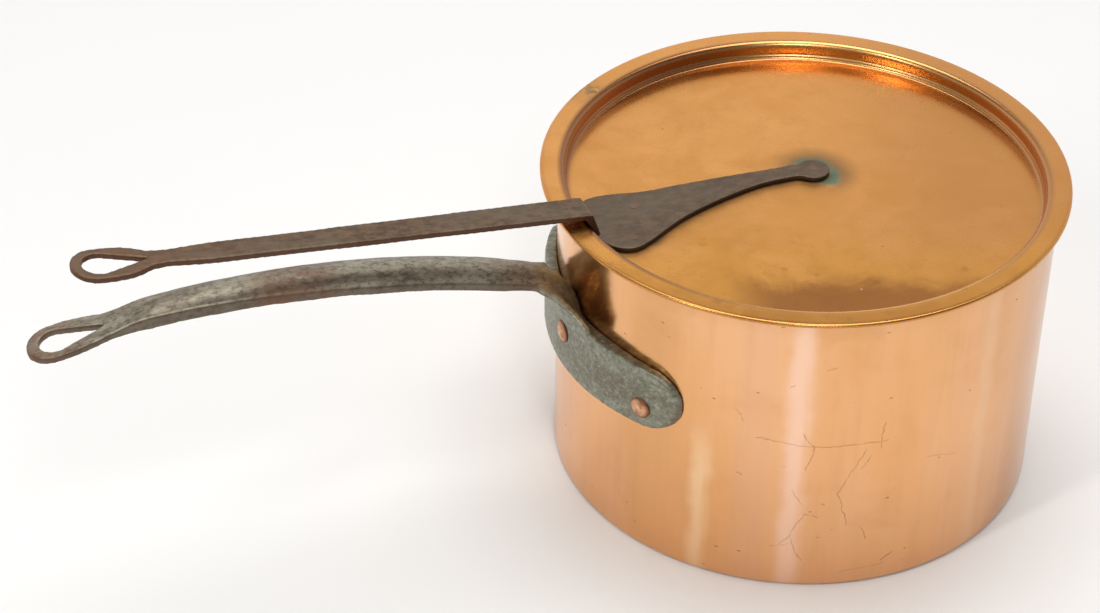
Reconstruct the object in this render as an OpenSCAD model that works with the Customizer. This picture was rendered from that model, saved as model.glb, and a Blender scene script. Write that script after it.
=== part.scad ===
// Straight-sided copper saucepan with a riveted iron handle and a sunk lid
// that has a long iron handle of its own.
// +Z is up, the origin is the middle of the pan's underside, and the pan's
// handle points along -X. All sizes are in millimetres.

/* [Pan] */
// Outside diameter of the straight copper wall
pan_d = 240; // [236:1:244]
// Height from the underside to the rim
pan_h = 159; // [150:1:170]
// Thickness of the copper wall
wall_t = 1.6; // [1.4:0.1:1.6]
// Thickness of the copper base
base_t = 2; // [1.5:0.1:3]
// Radius of the corner between base and wall, outside
base_corner = 3.5; // [2.5:0.5:6]
// Thickness of the tin lining, in the pan and under the lid
tin_t = 0.2; // [0.1:0.05:0.3]

/* [Lid] */
// Outside diameter of the lid's flange
lid_d = 254.2; // [252:0.2:260]
// Thickness of the copper flange
flange_t = 2; // [1.6:0.1:2.4]
// Thickness of the copper in the sunk middle
lid_t = 1.2; // [0.8:0.1:1.4]
// Depth of the sunk floor below the flange's top
lid_depth = 9.3; // [8:0.1:12]
// Radial play between the lid's sunk wall and the pan
lid_play = 2.2; // [1.8:0.1:3]
// Radius of the bend from the flange into the sunk wall
lid_bend = 2.8; // [2.6:0.1:4]
// How far the lid has slid towards the pan's handle
lid_slip_x = 1.7; // [0:0.1:1.7]
// How far the lid has slid sideways
lid_slip_y = 0.7; // [0:0.1:0.7]

/* [Pan handle] */
// Lowest point of the riveted plate
plate_z = 78; // [70:1:90]
// Height of the plate's wings
wing_h = 33; // [28:1:34]
// Angle from the handle to the centre of a wing's round end, seen from above
wing_angle = 28.5; // [26:0.5:32]
// Thickness of the plate under the handle
plate_t = 7; // [6:0.5:8]
// Thickness that the plate loses towards its wings
plate_taper = 16; // [10:1:18]
// Width of the bar where it leaves the plate
bar_w = 22.6; // [20:0.2:24]
// Width of the bar just before its eye
bar_end_w = 15.4; // [14:0.2:17]
// Thickness at the bar's edges
bar_edge_t = 3.6; // [3:0.1:4.5]
// Height of the bar's rounded crown above its edges
bar_crown = 4; // [2:0.2:5]
// Radius of the bend where the bar leaves the wall
neck_r = 36.1; // [32:0.1:40]
// Angle that the bend turns through
neck_angle = 71.1; // [68:0.1:74]
// Radius of the long arch of the bar
arch_r = 467; // [440:1:500]
// Reach of the handle, from the pan's middle to its end
handle_reach = 380; // [360:1:400]
// Radius of the eye's round end, outside
pan_eye_r = 12; // [11:0.5:13]
// Radius of the hole in the eye
pan_eye_hole_r = 7.4; // [6:0.1:8]

/* [Lid handle] */
// Thickness of the leaf riveted to the lid
leaf_t = 2.7; // [2:0.1:3]
// Thickness of the strap
strap_t = 3.1; // [2.8:0.1:4]
// Width of the strap above the lid
strap_w = 16.2; // [15:0.2:17]
// Width of the strap just before its eye
strap_end_w = 13; // [12:0.2:15]
// Slope of the strap, in degrees
strap_slope = 6.67; // [5:0.1:8]
// Height of the strap's top above the flange's underside at its crank
strap_z = 8.2; // [7.6:0.1:10]
// Reach of the strap, from the leaf's tip to its end
strap_reach = 364.4; // [340:0.2:380]
// Radius of the eye's round end, outside
lid_eye_r = 11.8; // [11:0.1:13]
// Radius of the hole in the eye
lid_eye_hole_r = 7.7; // [6:0.1:8]
// Turn of the lid's handle from the pan's handle, in degrees
lid_turn = 0.9; // [0:0.1:3]

/* [Rivets] */
// Radius of the copper rivets' shanks
rivet_r = 3.5; // [3:0.1:4]
// Radius of their outside heads
rivet_head_r = 5.8; // [5:0.1:6.5]
// Height of their outside heads
rivet_head_h = 1.8; // [1:0.1:2.5]
// Radius of their heads inside the pan
rivet_inner_r = 6.6; // [6:0.1:8]
// Height of their heads inside the pan
rivet_inner_h = 1.6; // [1:0.1:2]
// Height of the middle rivet
rivet_mid_z = 98; // [94:0.5:104]
// Angle that the middle rivet sits to the right of the handle's line
rivet_mid_angle = 1.2; // [0.4:0.1:2]
// Height of the two outer rivets
rivet_side_z = 88.5; // [86:0.5:92]
// Angle from the handle to an outer rivet
rivet_angle = 28; // [24:0.5:31]
// Radius of the small rivets through the leaf
leaf_rivet_r = 2.2; // [1.8:0.1:2.5]

/* [Hidden] */
$fn = 64;

pan_r = pan_d / 2;
bore_r = pan_r - wall_t - tin_t;       // inside of the tinned pan
plug_r = bore_r - lid_play;            // outside of the tinned plug
sunk_r = plug_r - tin_t - 1;           // inside of the lid's sunk wall
sunk_floor = tin_t + flange_t - lid_depth;
lid_r = lid_d / 2;
leaf_top = sunk_floor + leaf_t;
rivet_gap = 0.02;                      // the shanks fill their holes
past = 20;                             // how far a cutting shape runs past

// The plate's outer face is a cylinder whose axis is moved towards the
// handle, so the plate thins towards its wings.
plate_face_r = pan_r + plate_t - plate_taper;
// Centres of the bend and of the arch, in the handle's upright plane
neck_x = -(pan_r - 0.3 + neck_r);
neck_z = plate_z + 22.3;
arch_x = neck_x - (arch_r - neck_r) * cos(neck_angle);
arch_z = neck_z - (arch_r - neck_r) * sin(neck_angle);
pan_eye_x = -(handle_reach - pan_eye_r);
pan_eye_point = 23;                    // from the eye's centre to its point
lid_eye_u = strap_reach - lid_eye_r;
lid_eye_point = 22;
// The lid handle's own frame in the lid's: x runs along the strap
lid_handle_at = [8, -0.6];
crank_u = 121.7;                       // inner corner of the crank, on top
leaf_tip = [0, -7];
leaf_tip_r = 8;
leaf_rivets = [leaf_tip, [103.8, 14.7], [93.6, -8.8]];

// Half of the plate's outline with the neck above it: [angle, height]
wing_r = wing_h / 2;
wing_z = plate_z + wing_r;
mm_to_deg = 180 / (PI * (pan_r + 6));
bar_root_angle = asin((bar_w / 2 - 0.8) / (pan_r + 6));
half_outline = concat(
    [[0, plate_z]],
    [for (a = [-90 : 10 : 90])
        [wing_angle + wing_r * cos(a) * mm_to_deg, wing_z + wing_r * sin(a)]],
    [[24, plate_z + wing_h + 0.4], [19, plate_z + wing_h + 1.5],
     [15, plate_z + wing_h + 4], [12.2, plate_z + wing_h + 8],
     [9, plate_z + wing_h + 14], [6.6, plate_z + wing_h + 19],
     [bar_root_angle, plate_z + wing_h + 23],
     [bar_root_angle, plate_z + wing_h + 60]]);
function on_wall(p, side) = [side * (pan_r + 6) * sin(p[0]), p[1]];

// Outline of the leaf, from its root along the far edge to the tip and back
leaf_points = [[119, -17.5], [113, -22.3], [105, -23], [96, -21.5],
    [84, -18.8], [67, -18.1], [41, -16.5], [20, -14.6], [5, -12.9],
    [5, -2.2], [10, -4.1], [25.6, -4.7], [42.5, -2.1], [60.3, 2.6],
    [75, 7.8], [86, 13.4], [96, 19], [105, 22.6], [112, 21],
    [117.2, 15.6], [119.6, 8], [119.8, -5]];

// A smooth closed curve through the points p, with n steps between each two
function curve(p, n = 4) = [
    for (i = [0 : len(p) - 1]) let (
        a = p[(i + len(p) - 1) % len(p)], b = p[i],
        c = p[(i + 1) % len(p)], d = p[(i + 2) % len(p)])
    for (k = [0 : n - 1]) let (t = k / n)
        (2 * b + (c - a) * t + (2 * a - 5 * b + 4 * c - d) * t * t
        + (3 * b - a - 3 * c + d) * t * t * t) / 2];

// Half section of a straight-sided pot: radius, height, bottom corner
module pot_section(r, h, corner) {
    square([r - corner, h]);
    translate([0, corner]) square([r, h - corner]);
    translate([r - corner, corner]) circle(corner);
}

// A drop outline along +X: a round end about the origin drawn out to a point
module drop(r, length) {
    a = acos(r / length);
    polygon(concat([[length, 0]],
        [for (i = [0 : 24]) r * [cos(a + (360 - 2 * a) * i / 24),
                                 sin(a + (360 - 2 * a) * i / 24)]]));
}

// Puts a shape that points along +X on the wall, at an angle from the handle
module at_wall(angle, z) {
    translate([0, 0, z]) rotate([0, 0, 180 + angle]) children();
}

// The holes for the copper rivets, through plate, wall and tin
module rivet_holes() {
    for (p = [[-rivet_angle, rivet_side_z], [rivet_mid_angle, rivet_mid_z],
              [rivet_angle, rivet_side_z]])
        at_wall(p[0], p[1]) translate([pan_r - past, 0, 0])
            rotate([0, 90, 0]) cylinder(r = rivet_r, h = 2 * past);
}

module pan_body() {
    color([0.93, 0.62, 0.42]) difference() {
        rotate_extrude($fn = 180) difference() {
            pot_section(pan_r, pan_h, base_corner);
            translate([0, base_t])
                pot_section(pan_r - wall_t, pan_h, base_corner - wall_t / 2);
        }
        rivet_holes();
    }
}

module pan_tin_lining() {
    corner = base_corner - wall_t / 2;
    color([0.72, 0.72, 0.70]) difference() {
        rotate_extrude($fn = 180) translate([0, base_t]) difference() {
            pot_section(pan_r - wall_t, pan_h - base_t, corner);
            translate([0, tin_t]) pot_section(bore_r, pan_h, corner - tin_t);
        }
        rivet_holes();
    }
}

// Section of the bar: thin edges under a rounded crown, at radius r
module bar_section(r) {
    crown_r = (bar_w * bar_w / 4 + bar_crown * bar_crown) / (2 * bar_crown);
    translate([r - bar_edge_t, -bar_w / 2]) square([bar_edge_t, bar_w]);
    intersection() {
        translate([r - 1, -bar_w / 2]) square([bar_crown + 2, bar_w]);
        translate([r + bar_crown - crown_r, 0]) circle(crown_r, $fn = 96);
    }
}

// Sweeps a section round a centre in the handle's upright plane
module arc_sweep(x, z, from, angle) {
    translate([x, 0, z]) rotate([90, 0, 0]) rotate([0, 0, from])
        rotate_extrude(angle = angle, $fn = 120) children();
}

// The riveted plate with its neck, bent away from the wall
module handle_root() {
    outline = concat([for (p = half_outline) on_wall(p, 1)],
        [for (i = [len(half_outline) - 1 : -1 : 1])
            on_wall(half_outline[i], -1)]);
    intersection() {
        rotate([90, 0, -90]) linear_extrude(pan_r * 2) polygon(outline);
        union() {
            translate([-plate_taper, 0, plate_z - 1])
                cylinder(r = plate_face_r, h = wing_h + 2, $fn = 180);
            arc_sweep(neck_x, neck_z, 0, neck_angle - 3)
                translate([neck_r - bar_edge_t + 0.1, -30])
                    square([bar_edge_t - 0.2, 60]);
        }
    }
    arc_sweep(neck_x, neck_z, 0, neck_angle) bar_section(neck_r);
}

// Outline of the bar from above, narrowing evenly to the eye
module bar_plan() {
    narrow = pan_eye_x + pan_eye_point + 18;
    half = bar_w / 2;
    end = bar_end_w / 2;
    polygon([[-100, -half - 1], [-100, half + 1], [-176, half + 1],
        [-250, half - 0.7], [narrow, end], [pan_eye_x, end - 0.3],
        [pan_eye_x, 0.3 - end], [narrow, -end], [-250, 0.7 - half],
        [-176, -half - 1]]);
}

// Side view that lets the crown run out before the eye: x along, y up
module crown_side() {
    out_x = pan_eye_x + pan_eye_point - 2;
    function top(x, more) = arch_z
        + sqrt(pow(arch_r + more, 2) - pow(x - arch_x, 2));
    polygon([[-100, 60], [-100, 200], [out_x + 45, top(out_x + 45, 12)],
        [out_x + 26, top(out_x + 26, bar_crown)], [out_x, top(out_x, 0)],
        [out_x - 6, top(out_x - 6, -1)], [out_x - 6, 60]]);
}

// The eye's outline from above: flared out of the bar into a round end
module eye_plan(r, bar_half, flare) {
    side = concat([for (a = [0 : 7.5 : 90]) [-r * cos(a), r * sin(a)]],
        [[flare * 0.22, r * 0.985], [flare * 0.42, r * 0.92],
         [flare * 0.6, r * 0.6 + bar_half * 0.35],
         [flare * 0.78, bar_half + 0.8], [flare, bar_half],
         [flare + 12, bar_half]]);
    polygon(concat(side, [for (i = [len(side) - 1 : -1 : 1])
        [side[i][0], -side[i][1]]]));
}

module pan_handle() {
    arch_end = acos((pan_eye_x - pan_eye_r - 1 - arch_x) / arch_r);
    eye_start = acos((pan_eye_x + pan_eye_point + 9 - arch_x) / arch_r);
    lap = 0.25;                        // the arch laps a little into the neck
    color([0.42, 0.42, 0.36]) difference() {
        union() {
            handle_root();
            intersection() {
                arc_sweep(arch_x, arch_z, neck_angle - lap,
                    arch_end - neck_angle + lap) bar_section(arch_r);
                translate([0, 0, pan_h - 60]) linear_extrude(90) bar_plan();
                translate([0, past, 0]) rotate([90, 0, 0])
                    linear_extrude(2 * past) crown_side();
            }
            intersection() {
                arc_sweep(arch_x, arch_z, eye_start, arch_end - eye_start)
                    translate([arch_r - bar_edge_t + 0.02, -past])
                        square([bar_edge_t + 0.2, 2 * past]);
                translate([pan_eye_x, 0, pan_h - 60]) linear_extrude(90)
                    eye_plan(pan_eye_r, bar_end_w / 2, pan_eye_point + 8);
            }
        }
        translate([0, 0, plate_z - 5]) cylinder(r = pan_r, h = pan_h, $fn = 180);
        translate([pan_eye_x + 1, 0, pan_h - 60]) linear_extrude(90)
            drop(pan_eye_hole_r, pan_eye_point);
        rivet_holes();
    }
}

// A domed head about the Z axis: radius r, height h above z = 0, and a
// straight side below
module domed_head(r, h, below) {
    dome_r = (r * r + h * h) / (2 * h);
    rotate([0, 0, 20]) rotate_extrude($fn = 60) intersection() {
        translate([0, h - dome_r]) circle(dome_r, $fn = 240);
        translate([0, -below]) square([r, h + below + 1]);
    }
}

// Distance of the plate's face from the pan's axis, at an angle
function plate_face(a) = plate_taper * cos(a)
    + sqrt(pow(plate_face_r, 2) - pow(plate_taper * sin(a), 2));

// A copper rivet through the handle's plate, with a domed head each side
// whose underside follows the curved face it is set against
module handle_rivet(angle, z) {
    out = plate_face(angle);
    color([0.72, 0.42, 0.26]) {
        at_wall(angle, z) translate([bore_r - 0.8, 0, 0]) rotate([0, 90, 0])
            cylinder(r = rivet_r - rivet_gap, h = out - bore_r + 1.6);
        difference() {
            at_wall(angle, z) translate([out, 0, 0]) rotate([0, 90, 0])
                domed_head(rivet_head_r, rivet_head_h, 1.5);
            translate([-plate_taper, 0, z - past])
                cylinder(r = plate_face_r, h = 2 * past, $fn = 180);
        }
        intersection() {
            at_wall(angle, z) translate([bore_r, 0, 0]) rotate([0, -90, 0])
                domed_head(rivet_inner_r, rivet_inner_h, 1.5);
            translate([0, 0, z - past])
                cylinder(r = bore_r, h = 2 * past, $fn = 180);
        }
    }
}

// Puts a shape in the lid's frame: z = 0 is the plane of the pan's rim
module at_lid() {
    translate([-lid_slip_x, lid_slip_y, pan_h]) children();
}

// Puts a shape in the lid handle's frame: x runs from tip to eye
module at_lid_handle() {
    at_lid() translate(lid_handle_at) rotate([0, 0, 180 + lid_turn])
        children();
}

// The holes for the small rivets, through leaf, copper and tin
module leaf_rivet_holes() {
    at_lid_handle() for (p = leaf_rivets)
        translate([p[0], p[1], sunk_floor - past])
            cylinder(r = leaf_rivet_r, h = 2 * past);
}

// Half section of a plug hanging below the rim's plane
module plug_section(r, bottom, corner) {
    translate([0, bottom]) pot_section(r, -bottom, corner);
}

module lid_disc() {
    edge_r = flange_t / 2;
    color([0.90, 0.58, 0.28]) difference() {
        at_lid() rotate_extrude($fn = 180) difference() {
            union() {
                translate([0, tin_t]) square([lid_r - edge_r, flange_t]);
                translate([lid_r - edge_r, tin_t + edge_r]) circle(edge_r);
                plug_section(plug_r - tin_t, sunk_floor - lid_t, 3);
                square([plug_r - tin_t, tin_t]);
            }
            translate([0, sunk_floor]) pot_section(sunk_r, lid_depth + 1, 2);
            translate([0, tin_t + flange_t - lid_bend]) difference() {
                square([sunk_r + lid_bend, lid_bend + 1]);
                translate([sunk_r + lid_bend, 0]) circle(lid_bend);
            }
        }
        leaf_rivet_holes();
    }
}

module lid_tin_lining() {
    color([0.70, 0.70, 0.68]) difference() {
        at_lid() rotate_extrude($fn = 180) difference() {
            union() {
                square([lid_r - flange_t, tin_t]);
                plug_section(plug_r, sunk_floor - lid_t - tin_t, 3.2);
            }
            plug_section(plug_r - tin_t, sunk_floor - lid_t, 3);
            translate([0, -1]) square([plug_r - tin_t, past]);
        }
        leaf_rivet_holes();
    }
}

// The strap's side view with its crank down into the lid: x along, y up
module strap_side() {
    rise = tan(strap_slope) * (strap_reach - crank_u);
    polygon([[crank_u, strap_z], [strap_reach + 1, strap_z + rise],
        [strap_reach + 1, strap_z + rise - strap_t],
        [crank_u + 3.4, strap_z - strap_t + 0.4],
        [crank_u + 0.3, -0.5], [crank_u - 1.5, sunk_floor],
        [crank_u - 4.8, sunk_floor], [crank_u - 2.9, -0.5]]);
}

// The strap's outline from above, with its eye
module strap_plan() {
    narrow = lid_eye_u - lid_eye_point - 26;
    polygon([[crank_u - 6, -strap_w / 2], [crank_u - 6, strap_w / 2],
        [narrow, strap_end_w / 2], [narrow + 16, strap_end_w / 2 - 1.5],
        [narrow + 16, -strap_end_w / 2 + 1.5], [narrow, -strap_end_w / 2]]);
    translate([lid_eye_u, 0]) rotate(180)
        eye_plan(lid_eye_r, strap_end_w / 2 - 1.5, lid_eye_point + 8);
}

module lid_handle() {
    color([0.36, 0.29, 0.23]) difference() {
        at_lid_handle() difference() {
            union() {
                intersection() {
                    translate([0, past, 0]) rotate([90, 0, 0])
                        linear_extrude(2 * past) strap_side();
                    translate([0, 0, sunk_floor])
                        linear_extrude(80) strap_plan();
                }
                translate([0, 0, sunk_floor]) linear_extrude(leaf_t) {
                    polygon(curve(leaf_points));
                    translate(leaf_tip) circle(leaf_tip_r);
                }
            }
            translate([lid_eye_u - 1, 0, 0]) linear_extrude(80)
                rotate(180) drop(lid_eye_hole_r, lid_eye_point);
        }
        leaf_rivet_holes();
    }
}

// A small rivet: flush in the leaf, with a low domed head under the lid
module leaf_rivet(p) {
    under = sunk_floor - lid_t - tin_t;
    color([0.45, 0.33, 0.25]) at_lid_handle() translate([p[0], p[1], under]) {
        translate([0, 0, -0.5])
            cylinder(r = leaf_rivet_r - rivet_gap, h = leaf_top - under + 0.5);
        rotate([180, 0, 0]) domed_head(2 * leaf_rivet_r, 1.4, 0);
    }
}

pan_body();
pan_tin_lining();
pan_handle();
handle_rivet(-rivet_angle, rivet_side_z);  // handle_rivet_left
handle_rivet(rivet_mid_angle, rivet_mid_z);  // handle_rivet_centre
handle_rivet(rivet_angle, rivet_side_z);  // handle_rivet_right
lid_disc();
lid_tin_lining();
lid_handle();
leaf_rivet(leaf_rivets[0]);  // lid_rivet_tip
leaf_rivet(leaf_rivets[1]);  // lid_rivet_near
leaf_rivet(leaf_rivets[2]);  // lid_rivet_far
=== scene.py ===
import math

import bmesh
import bpy
import numpy as np
from mathutils import Matrix, Vector, noise


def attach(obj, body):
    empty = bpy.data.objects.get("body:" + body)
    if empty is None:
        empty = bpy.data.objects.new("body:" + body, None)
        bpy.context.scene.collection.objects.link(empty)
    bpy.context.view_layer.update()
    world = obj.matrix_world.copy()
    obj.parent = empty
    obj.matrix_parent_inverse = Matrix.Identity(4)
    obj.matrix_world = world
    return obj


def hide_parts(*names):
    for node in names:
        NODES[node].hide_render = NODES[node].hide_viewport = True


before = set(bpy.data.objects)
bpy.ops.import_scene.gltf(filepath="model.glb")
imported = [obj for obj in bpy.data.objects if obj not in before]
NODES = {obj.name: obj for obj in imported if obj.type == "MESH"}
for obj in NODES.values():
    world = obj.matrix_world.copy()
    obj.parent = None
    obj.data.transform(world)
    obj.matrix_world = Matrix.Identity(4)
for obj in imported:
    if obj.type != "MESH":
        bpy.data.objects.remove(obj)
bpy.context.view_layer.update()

MM = 0.001

# ---------------------------------------------------------------- sizes, mm
PAN_R, PAN_H, WALL, TIN, BASE = 120.0, 159.0, 1.6, 0.2, 2.0
LID_AT = Vector((-1.7, 0.7, PAN_H))
FLANGE_R, FLANGE_T, SUNK_R, PLUG_R = 127.08, 2.0, 114.8, 116.0
LID_T, LID_DEPTH = 1.2, 9.3
FLOOR = TIN + FLANGE_T - LID_DEPTH
PAN_CORNER, PAN_LIP, PAN_COVE = 3.5, 0.5, 2.7
LID_EDGE, LID_BEND, LID_CORNER, LID_COVE = 1.0, 2.8, 3, 2
HANDLE_AT = LID_AT + Vector((8.0, -0.6, 0.0))
HANDLE_TURN = math.radians(180.9)
LEAF = [(119, -17.5), (113, -22.3), (105, -23), (96, -21.5), (84, -18.8),
        (67, -18.1), (41, -16.5), (20, -14.6), (5, -12.9), (5, -2.2),
        (10, -4.1), (25.6, -4.7), (42.5, -2.1), (60.3, 2.6), (75, 7.8),
        (86, 13.4), (96, 19), (105, 22.6), (112, 21), (117.2, 15.6),
        (119.6, 8), (119.8, -5)]
LEAF_TIP_V, LEAF_TIP_R = -7.0, 8.0
LEAF_RIVETS = ((0, -7), (103.8, 14.7), (93.6, -8.8))
RIVETS = ((-28.0, 88.5), (1.2, 98.0), (28.0, 88.5))   # angle, height

# Painted highlight bands, upright on the wall: place round it and half width
# in mm, strength, colour, and whether only the lower half has it
HIGHLIGHT_BANDS = ((-243.0, 9.0, 0.75, (0.97, 0.66, 0.50), False),
         (-287.5, 7.5, 0.62, (0.98, 0.72, 0.44), True),
         (-262.0, 13.0, 0.35, (0.80, 0.46, 0.30), False),
         (-146.0, 8.0, 0.35, (0.93, 0.66, 0.42), False),
         (90.0, 11.0, 0.45, (0.95, 0.62, 0.44), False),
         (215.0, 14.0, 0.40, (0.93, 0.60, 0.42), False))
# Scratches in the wall: both ends (round the wall, height), width, darkness
SCRATCHES = (
    ((-261, 89), (-234, 86), 0.26, 0.55), ((-234, 86), (-200, 87), 0.28, 0.65),
    ((-202, 98), (-203, 83), 0.32, 0.6), ((-210, 83), (-222, 58), 0.3, 0.6),
    ((-222, 58), (-219, 50), 0.3, 0.6), ((-219, 50), (-216, 38), 0.3, 0.6),
    ((-240, 93), (-234, 86), 0.26, 0.55), ((-234, 86), (-237, 72), 0.28, 0.6),
    ((-244, 60), (-238, 52), 0.28, 0.5), ((-236, 45), (-243, 33), 0.3, 0.6),
    ((-236, 45), (-230, 43), 0.3, 0.6), ((-243, 33), (-247, 26), 0.3, 0.55),
    ((-243, 33), (-240, 22), 0.3, 0.5), ((-240, 22), (-236, 17), 0.3, 0.5),
    ((-251, 25), (-243, 27), 0.25, 0.4), ((-207, 79), (-211, 72), 0.28, 0.5),
    ((-209, 36), (-206, 28), 0.3, 0.6), ((-197, 13), (-192, 16), 0.35, 0.65),
    ((-218, 9), (-196, 11), 0.26, 0.45), ((-272, 104), (-267, 97), 0.28, 0.45),
    ((-178, 71), (-160, 66), 0.24, 0.35),
    ((-248, 120), (-246, 121), 0.4, 0.55),
    ((-231, 131), (-228, 132), 0.3, 0.5), ((-270, 66), (-268, 65), 0.4, 0.5))

# ------------------------------------------------- camera, radians and metres
CAMERA_TURN = math.radians(-21.8)
CAMERA_TILT, CAMERA_ROLL = 0.634698, 0.0143325
CAMERA_AIM = Vector((0, 0, 0.07))
CAMERA_BACK, CAMERA_LEFT, CAMERA_UP = 1.37983, 0.122902, 0.006596
CAMERA_LENS, CAMERA_SENSOR = 90.594, 36.0


# ------------------------------------------------------------ shader helpers
class Paint:
    """A principled material with short names for the nodes it is built of."""

    def __init__(self, name, metallic, roughness=None, **even):
        self.mat = bpy.data.materials.new(name)
        self.mat.use_nodes = True
        self.tree = self.mat.node_tree
        self.tree.nodes.clear()
        out = self.tree.nodes.new("ShaderNodeOutputMaterial")
        self.bsdf = self.tree.nodes.new("ShaderNodeBsdfPrincipled")
        self.tree.links.new(self.bsdf.outputs[0], out.inputs[0])
        self.bsdf.inputs["Metallic"].default_value = metallic
        if roughness is not None:
            self.bsdf.inputs["Roughness"].default_value = roughness
        for key, value in even.items():
            self.bsdf.inputs[key.replace("_", " ")].default_value = value
        coords = self.tree.nodes.new("ShaderNodeTexCoord")
        scale = self.tree.nodes.new("ShaderNodeVectorMath")
        scale.operation = "SCALE"
        scale.inputs["Scale"].default_value = 1000.0
        self.tree.links.new(coords.outputs["Object"], scale.inputs[0])
        self.p = scale.outputs[0]                      # position in mm
        apart = self.tree.nodes.new("ShaderNodeSeparateXYZ")
        self.tree.links.new(self.p, apart.inputs[0])
        self.x, self.y, self.z = apart.outputs

    def put(self, socket, value):
        if isinstance(value, bpy.types.NodeSocket):
            self.tree.links.new(value, socket)
        elif isinstance(value, (tuple, list)):
            value = tuple(value)
            if len(socket.default_value) == 4 and len(value) == 3:
                value += (1.0,)
            socket.default_value = value
        else:
            socket.default_value = value

    def math(self, op, a, b=0.0, c=0.0):
        n = self.tree.nodes.new("ShaderNodeMath")
        n.operation = op
        self.put(n.inputs[0], a)
        self.put(n.inputs[1], b)
        if op in ("MULTIPLY_ADD", "SMOOTH_MIN", "SMOOTH_MAX"):
            self.put(n.inputs[2], c)
        return n.outputs[0]

    def add(self, a, b):
        return self.math("ADD", a, b)

    def mul(self, a, b):
        return self.math("MULTIPLY", a, b)

    def top(self, a, b):
        return self.math("MAXIMUM", a, b)

    def step(self, value, low, high):
        """0 below low, 1 above high, smooth between; low may be above high."""
        n = self.tree.nodes.new("ShaderNodeMapRange")
        n.interpolation_type = "SMOOTHSTEP"
        if low < high:
            span = (low, high, 0.0, 1.0)
        else:
            span = (high, low, 1.0, 0.0)
        self.put(n.inputs[0], value)
        for i, v in enumerate(span):
            n.inputs[i + 1].default_value = v
        return n.outputs[0]

    def vector(self, x, y, z):
        n = self.tree.nodes.new("ShaderNodeCombineXYZ")
        for i, v in enumerate((x, y, z)):
            self.put(n.inputs[i], v)
        return n.outputs[0]

    def grain(self, size, detail=3.0, rough=0.55, at=None, stretch=None,
              shift=0.0, twist=0.0):
        """Noise from 0 to 1 with features of about size mm."""
        at = self.p if at is None else at
        n = self.tree.nodes.new("ShaderNodeMapping")
        n.inputs["Location"].default_value = (shift, shift * 0.7, -shift)
        sx, sy, sz = stretch or (1.0, 1.0, 1.0)
        n.inputs["Scale"].default_value = (1 / size / sx, 1 / size / sy,
                                           1 / size / sz)
        self.tree.links.new(at, n.inputs["Vector"])
        t = self.tree.nodes.new("ShaderNodeTexNoise")
        t.inputs["Scale"].default_value = 1.0
        t.inputs["Detail"].default_value = detail
        t.inputs["Roughness"].default_value = rough
        t.inputs["Distortion"].default_value = twist
        self.tree.links.new(n.outputs[0], t.inputs["Vector"])
        return t.outputs[0]

    def spots(self, size, at=None, shift=0.0):
        """Distance from the nearest of scattered points, in cells."""
        at = self.p if at is None else at
        n = self.tree.nodes.new("ShaderNodeMapping")
        n.inputs["Location"].default_value = (shift, -shift, shift * 0.3)
        n.inputs["Scale"].default_value = (1 / size,) * 3
        self.tree.links.new(at, n.inputs["Vector"])
        t = self.tree.nodes.new("ShaderNodeTexVoronoi")
        t.inputs["Scale"].default_value = 1.0
        self.tree.links.new(n.outputs[0], t.inputs["Vector"])
        return t.outputs["Distance"]

    def attribute(self, name):
        n = self.tree.nodes.new("ShaderNodeAttribute")
        n.attribute_name = name
        return n.outputs["Fac"]

    def blend(self, fac, a, b):
        n = self.tree.nodes.new("ShaderNodeMix")
        n.data_type = "RGBA"
        self.put(n.inputs[0], fac)
        self.put(n.inputs[6], a)
        self.put(n.inputs[7], b)
        return n.outputs[2]

    def facing(self):
        """X, Y and Z of the way the surface faces."""
        n = self.tree.nodes.new("ShaderNodeSeparateXYZ")
        self.tree.links.new(self.tree.nodes.new("ShaderNodeNewGeometry")
                            .outputs["Normal"], n.inputs[0])
        return n.outputs

    def segment(self, u, v, a, b, width):
        """1 on the line from a to b in the plane (u, v), 0 beyond width."""
        du, dv = b[0] - a[0], b[1] - a[1]
        size = du * du + dv * dv
        pu, pv = self.add(u, -a[0]), self.add(v, -a[1])
        t = self.math("MULTIPLY_ADD", pu, du / size, self.mul(pv, dv / size))
        t = self.math("MINIMUM", self.top(t, 0.0), 1.0)
        ex = self.math("MULTIPLY_ADD", t, -du, pu)
        ey = self.math("MULTIPLY_ADD", t, -dv, pv)
        d = self.math("SQRT", self.math("MULTIPLY_ADD", ex, ex,
                                        self.mul(ey, ey)))
        return self.step(d, width, width * 0.25)

    def away(self, centre, axis=None):
        """Distance in mm from a point, or from a line through it."""
        n = self.tree.nodes.new("ShaderNodeVectorMath")
        n.operation = "SUBTRACT"
        self.tree.links.new(self.p, n.inputs[0])
        n.inputs[1].default_value = centre
        if axis is not None:
            c = self.tree.nodes.new("ShaderNodeVectorMath")
            c.operation = "CROSS_PRODUCT"
            self.tree.links.new(n.outputs[0], c.inputs[0])
            c.inputs[1].default_value = axis
            n = c
        d = self.tree.nodes.new("ShaderNodeVectorMath")
        d.operation = "LENGTH"
        self.tree.links.new(n.outputs[0], d.inputs[0])
        return d.outputs["Value"]

    def finish(self, colour=None, rough=None, height=None, bump=0.3,
               depth=0.1):
        if colour is not None:
            self.put(self.bsdf.inputs["Base Color"], colour)
        if rough is not None:
            self.put(self.bsdf.inputs["Roughness"], rough)
        if height is not None:
            n = self.tree.nodes.new("ShaderNodeBump")
            n.inputs["Strength"].default_value = bump
            n.inputs["Distance"].default_value = depth * MM
            self.tree.links.new(height, n.inputs["Height"])
            self.tree.links.new(n.outputs[0], self.bsdf.inputs["Normal"])
        return self.mat


# -------------------------------------------------------------- mesh helpers
def arc(cr, cz, r, a0, a1, n):
    return [(cr + r * math.cos(math.radians(a0 + (a1 - a0) * i / n)),
             cz + r * math.sin(math.radians(a0 + (a1 - a0) * i / n)))
            for i in range(n + 1)]


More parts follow.
